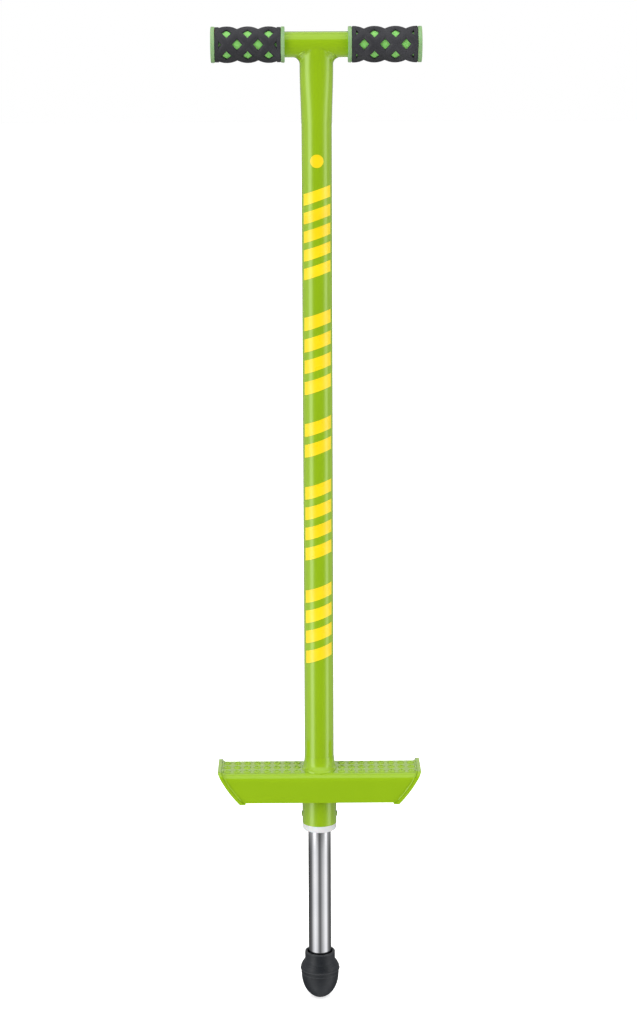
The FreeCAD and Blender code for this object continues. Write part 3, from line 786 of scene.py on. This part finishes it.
# Brightness round the object by bearing in degrees: 0 is the camera's side, -90 the left.
# Broad panels stand low down, narrow strip lights higher up, and a thin strip right behind.
LOW_SURROUND = [(-180, 0.34), (-173, 0.27), (-168, 0.06), (-119, 0.06), (-92, 0.14), (-70, 0.58),
                (-51, 0.90), (-33, 0.75), (-16, 0.36), (0, 0.09), (16, 0.26), (33, 0.48), (51, 0.80),
                (64, 0.92), (72, 0.86), (92, 0.25), (119, 0.08), (168, 0.06), (173, 0.27), (180, 0.34)]
HIGH_SURROUND = [(-180, 0.95), (-173, 0.75), (-168, 0.10), (-110, 0.20), (-84, 0.25), (-72, 0.38),
                 (-62, 0.95), (-48, 1.05), (-40, 0.60), (-30, 0.14), (-10, 0.05), (20, 0.05),
                 (42, 0.10), (54, 0.36), (64, 0.80), (76, 0.78), (86, 0.26), (100, 0.20), (168, 0.10),
                 (173, 0.75), (180, 0.95)]
STRIP_GAIN = 1.5
STRIP_FROM = -0.344          # height of a unit ray at which the panels give way to the strips
STRIP_TO = -0.330
BEHIND_FROM = 105            # bearing either side from which the part behind starts
BEHIND_TO = 140
BEHIND_RISE = 0.25           # height of a unit ray where it is all there
BEHIND_LEVEL = 0.33
BEHIND_HIGH_FROM = 0.38      # heights of a unit ray between which it darkens
BEHIND_HIGH_TO = 0.50
BEHIND_HIGH_LEVEL = 0.06
CEILING_LEVEL = 0.62
CEILING_EDGE = 0.70          # height of a unit ray that reaches the ceiling panel's rim
CEILING_BLUR = 0.03
CEILING_GAP_SLOPE = 0.34     # dark gap across the ceiling: its slope, half width and depth
CEILING_GAP_HALF = 0.18
CEILING_GAP_DEPTH = 0.6


def make_world():
    """Studio surround: lights on each side of the front, a soft ceiling, darker elsewhere.

    The camera itself sees plain white.
    """
    world = bpy.data.worlds.new("studio")
    bpy.context.scene.world = world
    world.use_nodes = True
    tree = world.node_tree
    tree.nodes.clear()

    def add(kind, **values):
        made = tree.nodes.new(kind)
        for key, value in values.items():
            setattr(made, key, value)
        return made

    def join(source, target):
        if isinstance(source, (int, float)):
            target.default_value = source
        else:
            tree.links.new(source, target)

    def calculate(operation, first, second=0.0):
        made = add("ShaderNodeMath", operation=operation)
        join(first, made.inputs[0])
        join(second, made.inputs[1])
        return made.outputs[0]

    def share(value, low, high):
        made = add("ShaderNodeMapRange", interpolation_type="SMOOTHSTEP")
        join(value, made.inputs["Value"])
        join(low, made.inputs["From Min"])
        join(high, made.inputs["From Max"])
        return made.outputs["Result"]

    def blend(factor, first, second):
        made = add("ShaderNodeMix", data_type="FLOAT")
        join(factor, made.inputs["Factor"])
        join(first, made.inputs["A"])
        join(second, made.inputs["B"])
        return made.outputs["Result"]

    direction = add("ShaderNodeSeparateXYZ")
    tree.links.new(add("ShaderNodeTexCoord").outputs["Generated"], direction.inputs[0])
    sideways, along, height = direction.outputs
    bearing = calculate("ARCTAN2", sideways, calculate("MULTIPLY", along, -1))
    turn = add("ShaderNodeMapRange")
    join(-math.pi, turn.inputs["From Min"])
    join(math.pi, turn.inputs["From Max"])
    join(bearing, turn.inputs["Value"])
    surrounds = []
    for stops in (LOW_SURROUND, HIGH_SURROUND):
        ramp = add("ShaderNodeValToRGB")
        elements = ramp.color_ramp.elements
        while len(elements) < len(stops):
            elements.new(0.5)
        for element, (degrees, level) in zip(elements, stops):
            element.position = (degrees + 180) / 360
            element.color = (level, level, level, 1)
        join(turn.outputs[0], ramp.inputs["Fac"])
        surrounds.append(ramp.outputs["Color"])
    strips = calculate("MULTIPLY", surrounds[1], STRIP_GAIN)
    level = blend(share(height, STRIP_FROM, STRIP_TO), surrounds[0], strips)
    behind = share(calculate("ABSOLUTE", bearing), math.radians(BEHIND_FROM), math.radians(BEHIND_TO))
    behind = calculate("MULTIPLY", behind, share(height, 0.0, BEHIND_RISE))
    high_up = share(height, BEHIND_HIGH_FROM, BEHIND_HIGH_TO)
    level = blend(behind, level, blend(high_up, BEHIND_LEVEL, BEHIND_HIGH_LEVEL))
    slope = calculate("DIVIDE", along, calculate("MAXIMUM", height, 0.01))
    gap = calculate("COMPARE", slope, CEILING_GAP_SLOPE)
    gap.node.inputs[2].default_value = CEILING_GAP_HALF
    dimmed = calculate("SUBTRACT", 1, calculate("MULTIPLY", gap, CEILING_GAP_DEPTH))
    ceiling = calculate("MULTIPLY", dimmed, CEILING_LEVEL)
    level = blend(share(height, CEILING_EDGE - CEILING_BLUR, CEILING_EDGE + CEILING_BLUR), level, ceiling)
    light = add("ShaderNodeBackground")
    join(level, light.inputs["Color"])
    join(WORLD_STRENGTH, light.inputs["Strength"])
    plain = add("ShaderNodeBackground")
    seen = add("ShaderNodeLightPath")
    plain.inputs["Color"].default_value = (1, 1, 1, 1)
    choose = add("ShaderNodeMixShader")
    join(seen.outputs["Is Camera Ray"], choose.inputs["Fac"])
    join(light.outputs[0], choose.inputs[1])
    join(plain.outputs[0], choose.inputs[2])
    join(choose.outputs[0], add("ShaderNodeOutputWorld").inputs["Surface"])


# Name, energy, tilt from straight down, and bearing, in degrees: 0 shines from the camera's side
SUNS = [("left_fill", 0.93, 70, -55), ("right_fill", 0.93, 70, 55), ("overhead", 0.75, 12, 0),
        ("bounce", 0.6, 165, 0), ("back_fill", 0.7, 70, 180)]
SUN_SIZE = 60


def make_lights():
    """Soft suns without reflections: from both sides of the front, overhead, below and behind."""
    for name, energy, tilt, bearing in SUNS:
        sun = bpy.data.objects.new(name, bpy.data.lights.new(name, "SUN"))
        sun.data.energy = energy
        sun.data.angle = math.radians(SUN_SIZE)
        sun.rotation_euler = (math.radians(tilt), 0, math.radians(bearing))
        sun.visible_glossy = False
        bpy.context.scene.collection.objects.link(sun)


CAMERA_DISTANCE = 2.223
CAMERA_HEIGHT = 0.973
CAMERA_SHIFT = 0.3 * MM
CAMERA_TURN = (11.517, 0.4, 0.24)        # pitch, yaw and roll in degrees
CAMERA_LENS = 79.21


def make_camera():
    """Front view from handlebar height, looking a little down, as the object is photographed."""
    pitch, yaw, roll = [math.radians(degrees) for degrees in CAMERA_TURN]
    camera = bpy.data.objects.new("camera", bpy.data.cameras.new("camera"))
    camera.data.lens = CAMERA_LENS
    camera.data.clip_end = 200
    turn = Matrix.Rotation(-yaw, 4, "Z") @ Matrix.Rotation(math.pi / 2 - pitch, 4, "X")
    turn = turn @ Matrix.Rotation(-roll, 4, "Z")
    sideways = CAMERA_SHIFT - CAMERA_DISTANCE * math.sin(yaw)
    place = Matrix.Translation((sideways, -CAMERA_DISTANCE * math.cos(yaw), CAMERA_HEIGHT))
    camera.matrix_world = place @ turn
    bpy.context.scene.collection.objects.link(camera)
    bpy.context.scene.camera = camera


bpy.context.scene.view_settings.view_transform = "Standard"
make_camera()
make_stage()
make_world()
make_lights()
paint_cad_nodes()
make_upright()
make_weld_skirt()
make_tip()
make_grips()
make_spring()
make_end_plate_seams()
make_tee_welds()
